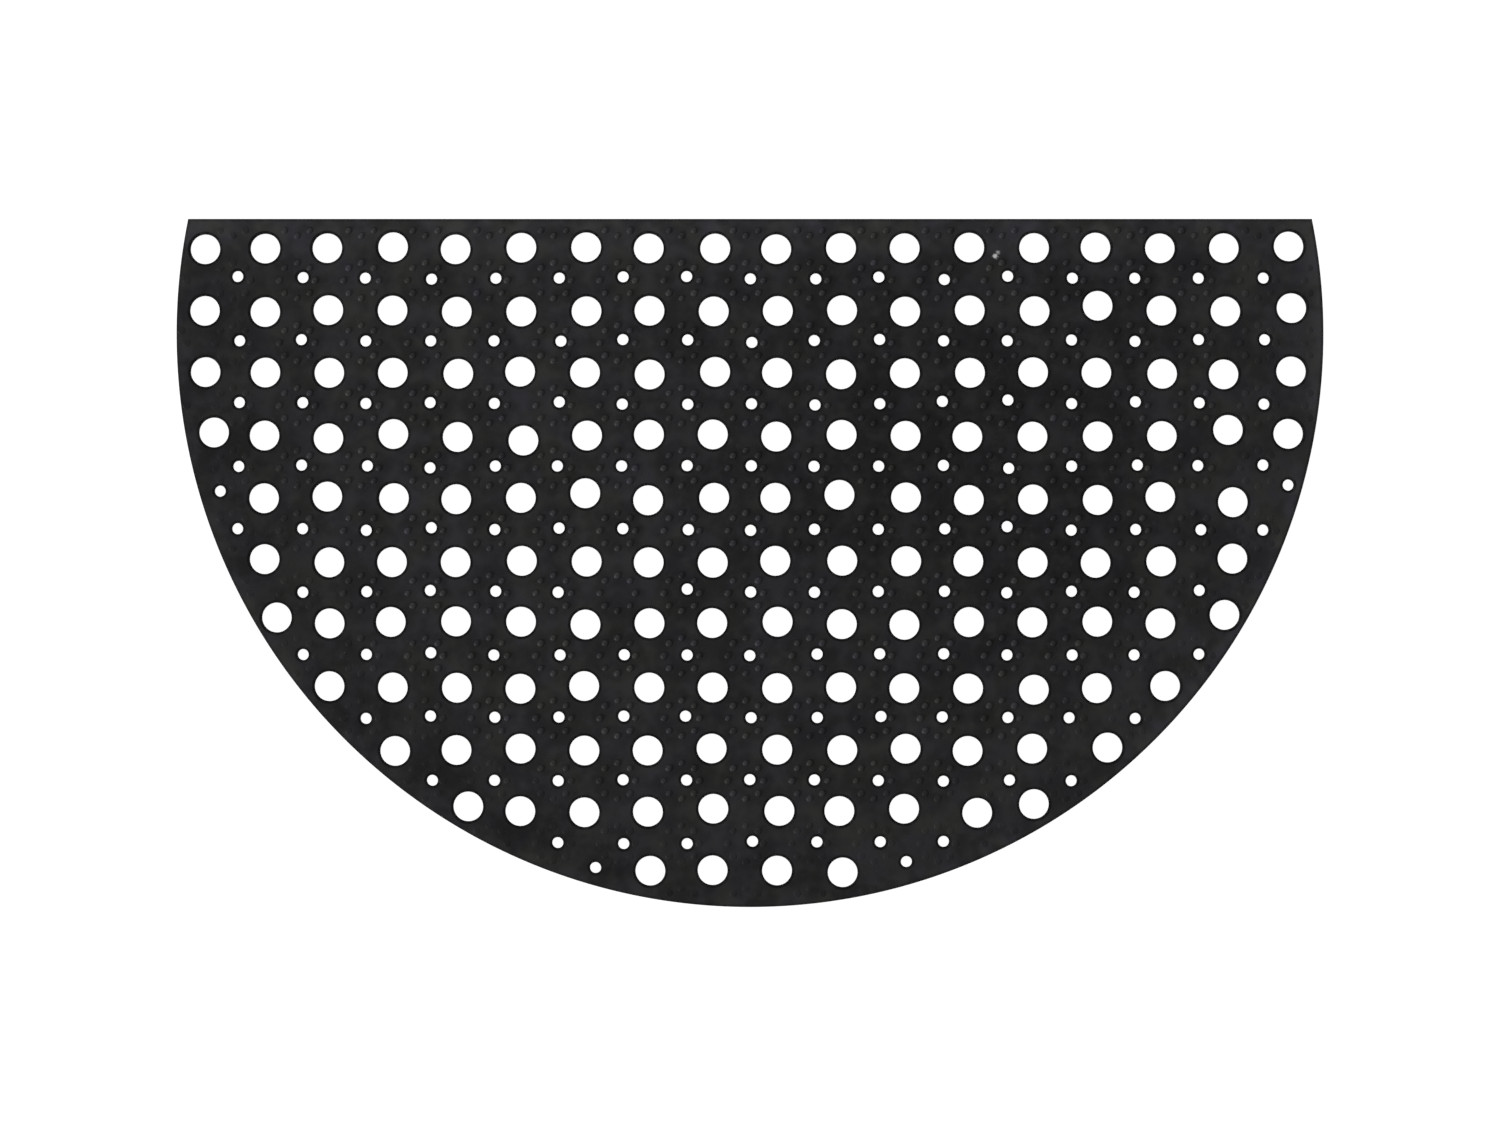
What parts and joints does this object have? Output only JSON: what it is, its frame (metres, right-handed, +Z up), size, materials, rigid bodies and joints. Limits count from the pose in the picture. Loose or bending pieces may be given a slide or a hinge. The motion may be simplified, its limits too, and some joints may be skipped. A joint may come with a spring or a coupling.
{
  "type": "half round perforated rubber doormat",
  "caption": "Flat half round doormat of black rubber, punched through with rows of large and small round drain holes.",
  "frame": {"origin": "middle of the mat's length and depth, on the underside that lies on the floor", "axes": "+X along the straight edge, +Y towards the straight edge, +Z up out of the trodden face"},
  "size_m": [0.75, 0.45, 0.006],
  "materials": {
    "rubber": "matte black, with a fine moulded grain and low studs"
  },
  "bodies": {
    "root": {"mat": "rubber"}
  },
  "joints": []
}
